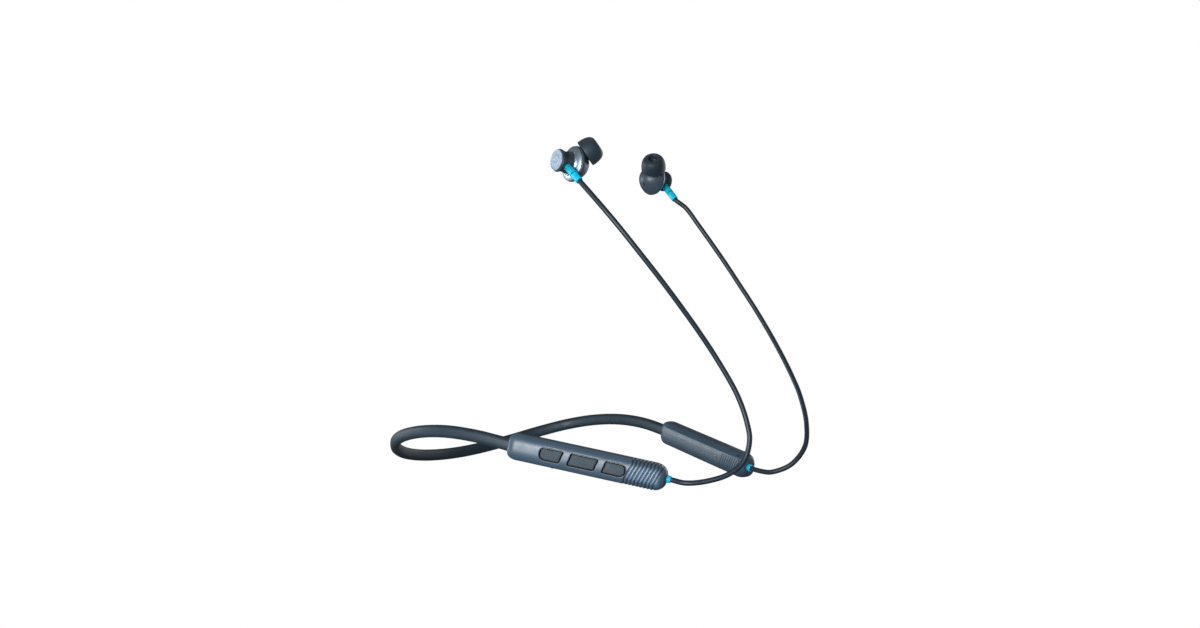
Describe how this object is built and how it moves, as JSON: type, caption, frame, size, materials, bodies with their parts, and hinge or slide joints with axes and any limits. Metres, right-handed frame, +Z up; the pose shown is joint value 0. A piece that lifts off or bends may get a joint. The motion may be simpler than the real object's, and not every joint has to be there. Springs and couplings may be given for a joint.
{
  "type": "neckband earphones",
  "caption": "Wireless neckband earphones: flexible silicone band, control pod with keys, battery pod, corded in-ear buds.",
  "frame": {"origin": "middle of the band's inner face, where it rests on the nape", "axes": "+X to the wearer's left, -Y forwards, +Z up, as worn"},
  "size_m": [0.1356, 0.1836, 0.1502],
  "materials": {
    "silicone": "matte soft-touch silicone",
    "pod": "satin blue-grey moulded plastic",
    "key": "fine-grained matte rubber",
    "accent": "satin cyan rubber",
    "cord": "matte ribbed elastomer jacket",
    "barrel": "satin dark plastic",
    "metal": "bright satin anodised aluminium",
    "tip": "matte silicone",
    "steel": "brushed steel",
    "board": "green solder mask",
    "chip": "black moulded plastic",
    "cell": "silver pouch foil",
    "window": "clear milky plastic"
  },
  "bodies": {
    "nape": {"band_nape": "silicone", "memory_wire_nape": "steel", "signal_harness_nape": "chip"},
    "right_arm": {"band_right_arm": "silicone", "memory_wire_right_arm": "steel", "signal_harness_right_arm": "chip", "right_pod_outer_shell": "pod", "right_pod_inner_shell": "pod", "right_cord_collar": "accent", "main_board": "board", "bluetooth_chip": "chip", "microphone": "metal", "usb_socket": "steel", "volume_down_switch": "chip", "multifunction_switch": "chip", "volume_up_switch": "chip"},
    "left_arm": {"band_left_arm": "silicone", "memory_wire_left_arm": "steel", "signal_harness_left_arm": "chip", "left_pod_outer_shell": "pod", "left_pod_inner_shell": "pod", "left_cord_collar": "accent", "battery_cell": "cell", "protection_board": "board", "led_board": "board", "led_lens": "window"},
    "volume_down_key": {"volume_down_button": "key"},
    "multifunction_key": {"multifunction_button": "key"},
    "volume_up_key": {"volume_up_button": "key"},
    "port_cover": {"usb_port_cover": "key"},
    "right_earbud": {"right_cord": "cord", "right_strain_relief": "accent", "right_barrel": "barrel", "right_end_cap": "metal", "right_magnet": "steel", "right_accent_ring": "metal", "right_driver": "chip", "right_front_housing": "barrel", "right_nozzle_mesh": "steel"},
    "left_earbud": {"left_cord": "cord", "left_strain_relief": "accent", "left_barrel": "barrel", "left_end_cap": "metal", "left_magnet": "steel", "left_accent_ring": "metal", "left_driver": "chip", "left_front_housing": "barrel", "left_nozzle_mesh": "steel"},
    "right_tip": {"right_ear_tip": "tip"},
    "left_tip": {"left_ear_tip": "tip"}
  },
  "joints": [
    {"name": "right_arm_flex", "type": "hinge", "parent": "nape", "child": "right_arm", "pos_m": [-0.03038, -0.00249, 0.00266], "axis": [0, 0, -1], "range_deg": [-6, 20], "stiffness_Nm_per_rad": 0.2},
    {"name": "left_arm_flex", "type": "hinge", "parent": "nape", "child": "left_arm", "pos_m": [0.03038, -0.00249, 0.00266], "axis": [0, 0, 1], "range_deg": [-6, 20], "stiffness_Nm_per_rad": 0.2},
    {"name": "volume_down_press", "type": "slide", "parent": "right_arm", "child": "volume_down_key", "axis": [0.9162, 0.4007, 0], "range_m": [0, 0.0004], "stiffness_N_per_m": 800},
    {"name": "multifunction_press", "type": "slide", "parent": "right_arm", "child": "multifunction_key", "axis": [0.9162, 0.4007, 0], "range_m": [0, 0.0004], "stiffness_N_per_m": 800},
    {"name": "volume_up_press", "type": "slide", "parent": "right_arm", "child": "volume_up_key", "axis": [0.9162, 0.4007, 0], "range_m": [0, 0.0004], "stiffness_N_per_m": 800},
    {"name": "usb_cover_flip", "type": "hinge", "parent": "right_arm", "child": "port_cover", "pos_m": [-0.05518, -0.09808, 0.00362], "axis": [0.9162, 0.4007, 0], "range_deg": [0, 100], "stiffness_Nm_per_rad": 0.0004},
    {"name": "right_earbud_swing", "type": "hinge", "parent": "right_arm", "child": "right_earbud", "pos_m": [-0.03352, -0.15134, -0.00204], "axis": [0, 0, 1], "range_deg": [-15, 15], "stiffness_Nm_per_rad": 0.002},
    {"name": "left_earbud_swing", "type": "hinge", "parent": "left_arm", "child": "left_earbud", "pos_m": [0.03352, -0.15134, -0.00204], "axis": [0, 0, 1], "range_deg": [-15, 15], "stiffness_Nm_per_rad": 0.002},
    {"name": "right_tip_pull", "type": "slide", "parent": "right_earbud", "child": "right_tip", "axis": [0.445, -0.6909, 0.5697], "range_m": [0, 0.009]},
    {"name": "left_tip_pull", "type": "slide", "parent": "left_earbud", "child": "left_tip", "axis": [-0.657, -0.3784, 0.652], "range_m": [0, 0.009]}
  ]
}
